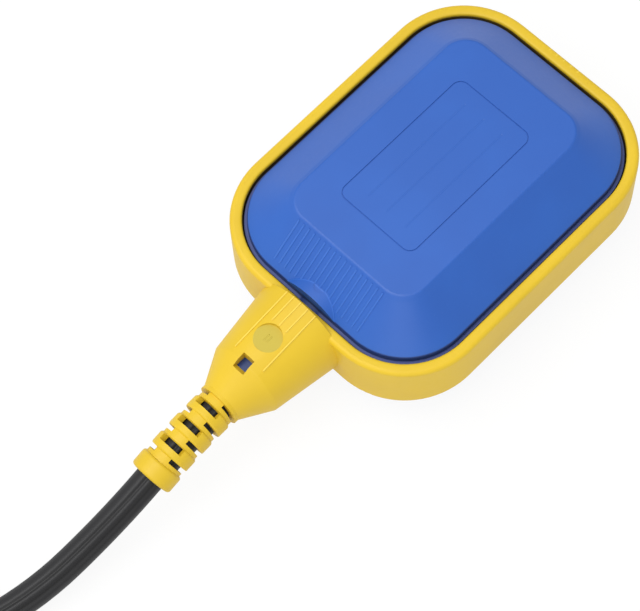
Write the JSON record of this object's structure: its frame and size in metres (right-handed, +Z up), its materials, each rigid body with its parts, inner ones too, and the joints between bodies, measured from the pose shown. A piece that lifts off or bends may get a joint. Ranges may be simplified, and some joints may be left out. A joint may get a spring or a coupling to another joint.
{
  "type": "cable float switch",
  "caption": "Flat float body with a moulded frame, tapered neck, slotted strain relief and a trailing cable; a ball inside lifts a lever that presses a snap switch.",
  "frame": {"origin": "middle of the bottom plateau, on the surface it lies on", "axes": "+Z up through the thickness, +X along the body away from the cable, which leaves towards -X"},
  "size_m": [0.3544, 0.119, 0.0415],
  "materials": {
    "yellow_plastic": "satin moulded",
    "blue_plastic": "satin moulded",
    "black_rubber": "smooth",
    "grey_rubber": "matt",
    "white_nylon": "matt",
    "brown_insulation": "smooth",
    "blue_insulation": "smooth",
    "black_insulation": "smooth",
    "zinc_steel": "zinc plated",
    "polished_steel": "polished",
    "red_plastic": "satin",
    "black_plastic": "matt",
    "tag_brass": "bright"
  },
  "bodies": {
    "housing": {"yellow_frame": "yellow_plastic", "upper_shell": "blue_plastic", "lower_shell": "blue_plastic", "cable": "black_rubber", "cable_coil": "black_rubber", "cable_inner": "black_rubber", "cable_seal": "grey_rubber", "cable_tie": "white_nylon", "brown_core": "brown_insulation", "blue_core": "blue_insulation", "black_core": "black_insulation", "switch_carrier": "white_nylon", "carrier_screws": "zinc_steel", "track_cover": "white_nylon", "lever_pin": "zinc_steel", "switch_case": "black_plastic", "switch_cover": "black_plastic", "common_terminal": "tag_brass", "open_terminal": "tag_brass", "closed_terminal": "tag_brass", "switch_screws": "zinc_steel", "brown_core_end": "brown_insulation", "blue_core_end": "blue_insulation", "black_core_end": "black_insulation"},
    "ball": {"steel_ball": "polished_steel"},
    "lever": {"ball_lever": "red_plastic"},
    "button": {"switch_button": "red_plastic"}
  },
  "joints": [
    {"name": "ball_roll", "type": "slide", "parent": "housing", "child": "ball", "axis": [1, 0, 0], "range_m": [0, 0.016]},
    {"name": "lever_pivot", "type": "hinge", "parent": "housing", "child": "lever", "pos_m": [0.018, 0, 0.02219], "axis": [0, 1, 0], "range_deg": [0, 6.88]},
    {"name": "button_press", "type": "slide", "parent": "housing", "child": "button", "axis": [0, 0, 1], "range_m": [0, 0.00109], "stiffness_N_per_m": 60}
  ],
  "couplings": [
    {"joint": "lever_pivot", "follows": "ball_roll", "rad_per_m": 7.4995},
    {"joint": "button_press", "follows": "ball_roll", "ratio": 0.0675}
  ]
}
